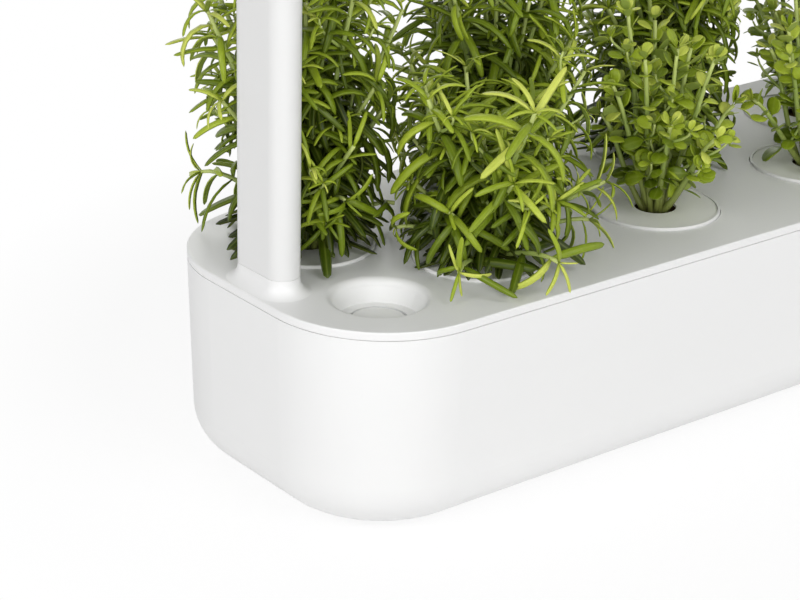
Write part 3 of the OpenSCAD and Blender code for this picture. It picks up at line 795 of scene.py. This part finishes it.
    def finish(self, name):
        self.startShoot()
        for shoot in self.shoots:
            self.bm.from_mesh(shoot)
            bpy.data.meshes.remove(shoot)
        grown = meshOf(self.bm, name)
        grown.attributes.new("tone", "FLOAT", "POINT").data.foreach_set("value", self.tones)
        grown.materials.append(materials["foliage"])
        grown.materials.append(materials["stalk"])
        addPiece(grown, name, self.k, "plant")
        triangles = sum(len(face.vertices) - 2 for face in grown.polygons)
        print(name, "leaves:", self.leafCount, "triangles:", triangles)


# Opening, length, bend, tone and sideLength are pairs, for the foot and the tip of a shoot. A storey of
# main shoots says how many there are, how far out and how high they end, and how steeply their tips rise.
# Shade is painted shade: the most that is taken off the tone of leaves deep inside and low down in the plant.
rosemary = {
    "name": "rosemary", "blade": "needle",
    "crown": 6.5 * mm, "lean": 0.12, "thick": 1.8 * mm, "bare": 8 * mm, "gap": 15 * mm,
    "opening": (82, 40), "length": (43 * mm, 26 * mm), "taper": 1.8, "bend": (3.7, 2.5), "droop": 0.45,
    "tone": (0.42, 0.92), "shade": 0.7, "sideRange": (0.15, 0.85), "sideChance": 0.36,
    "sideLength": (38 * mm, 22 * mm), "sideScale": 0.66, "tuft": (36, 20),
    "storeys": (
        (12, (0.25, 1.0), (0.7, 0.96), 0.3),
        (9, (0.75, 1.0), (0.36, 0.68), 0.2),
        (6, (0.85, 1.0), (0.1, 0.22), -0.12),
    ),
}
herb = {
    "name": "herb", "blade": "spoon",
    "crown": 5.5 * mm, "lean": 0.5, "thick": 1.8 * mm, "bare": 24 * mm, "gap": 13 * mm,
    "opening": (75, 35), "length": (16 * mm, 11 * mm), "taper": 1.5, "bend": (2.2, 0.6), "droop": 0.5,
    "tone": (0.68, 0.92), "shade": 0.2, "sideRange": (0.25, 0.8), "sideChance": 0.4,
    "sideLength": (26 * mm, 14 * mm), "sideScale": 0.85, "tuft": (30, 18),
    "storeys": (
        (6, (0.1, 0.62), (0.72, 0.95), 0.3),
        (7, (0.6, 0.95), (0.4, 0.66), 0.18),
    ),
}
herbPods = (4, 6, 7)
firstSeed = {"plant": 40, "soil": 100}
storeyStray = (-0.25, 0.25)  # by how much of a step a main shoot may stand aside


def growPlant(k, look):
    plant = Plant(k, look, firstSeed["plant"] + k)
    rng = plant.rng
    height = plant.top - ringTop
    for count, outs, heights, tipRise in look["storeys"]:
        start = rng.uniform(0, 2 * pi)
        for i in range(count):
            heading = start + 2 * pi * (i + rng.uniform(*storeyStray)) / count
            plant.addMainShoot(heading, rng.uniform(*outs), height * rng.uniform(*heights), tipRise)
    plant.finish(f"{look['name']}_{k}")


for k in pods:
    growPlant(k, herb if k in herbPods else rosemary)


# Soil: a turned block with an uneven top, and crumbs scattered on it.
earth = {
    "rings": 9, "sideRings": 6, "segments": 40, "rim": 0.5 * mm, "near": 0.1 * mm, "join": 0.01 * mm,
    "swell": 0.9 * mm, "sink": 0.6, "coarse": 160.0, "fine": 700.0, "fineShare": 0.5,
}
crumbs = {
    "count": 70, "size": 0.9 * mm, "sizes": (0.4, 1.0), "flat": (0.6, 1.0), "height": 0.7, "out": (0, 0.9),
    "buried": 0.2 * mm,
}


def turnSoil(bm, centre, radius, foot, low, high):
    profile = [(radius * i / earth["rings"], high) for i in range(earth["rings"] + 1)]
    shares = [i / earth["sideRings"] for i in range(1, earth["sideRings"] + 1)]
    profile += [(mix(radius, foot, share), mix(high, low, share)) for share in shares] + [(0, low)]
    line = [bm.verts.new((centre.x + r, centre.y, z)) for r, z in profile]
    edges = [bm.edges.new(pair) for pair in zip(line, line[1:])]
    steps = earth["segments"]
    bmesh.ops.spin(bm, geom=line + edges, cent=centre, axis=up, angle=2 * pi, steps=steps, use_merge=True)
    bmesh.ops.remove_doubles(bm, verts=bm.verts, dist=earth["join"])
    bmesh.ops.recalc_face_normals(bm, faces=bm.faces)
    for vert in bm.verts:
        if vert.co.z > high - earth["near"] and fromAxis(vert.co, centre) < radius - earth["rim"]:
            rough = noise.noise(vert.co * earth["coarse"])
            rough += earth["fineShare"] * noise.noise(vert.co * earth["fine"])
            vert.co.z += earth["swell"] * (rough - earth["sink"])


def scatterCrumbs(bm, rng, centre, radius, high):
    for _ in range(crumbs["count"]):
        turn, reach = rng.uniform(0, 2 * pi), radius * sqrt(rng.uniform(*crumbs["out"]))
        size = crumbs["size"] * rng.uniform(*crumbs["sizes"])
        spot = centre + Vector((sin(turn) * reach, cos(turn) * reach, high - crumbs["buried"]))
        tilt = Matrix.Rotation(rng.uniform(0, pi), 4, Vector((rng.random(), rng.random(), 1)))
        squash = Matrix.Diagonal((size, size * rng.uniform(*crumbs["flat"]), size * crumbs["height"], 1))
        place = Matrix.Translation(spot) @ tilt @ squash
        bmesh.ops.create_icosphere(bm, subdivisions=1, radius=1.0, matrix=place)


def makeSoil(k):
    centre = pods[k]
    low, high = (corner.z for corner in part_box(f"soil_pod_{k}"))
    solid = [(fromAxis(v.co, centre), v.co.z) for v in nodes[f"soil_pod_{k}"].data.vertices]
    radius = max(r for r, z in solid)
    foot = min(r for r, z in solid if z < low + earth["near"])
    bm = bmesh.new()
    turnSoil(bm, centre, radius, foot, low, high)
    scatterCrumbs(bm, Random(firstSeed["soil"] + k), centre, radius, high)
    for face in bm.faces:
        face.smooth = True
    ground = meshOf(bm, f"soil_{k}")
    ground.materials.append(materials["soil"])
    addPiece(ground, f"soil_{k}", k, "soil_pod")


for k in pods:
    makeSoil(k)
print("soil:", podCount)
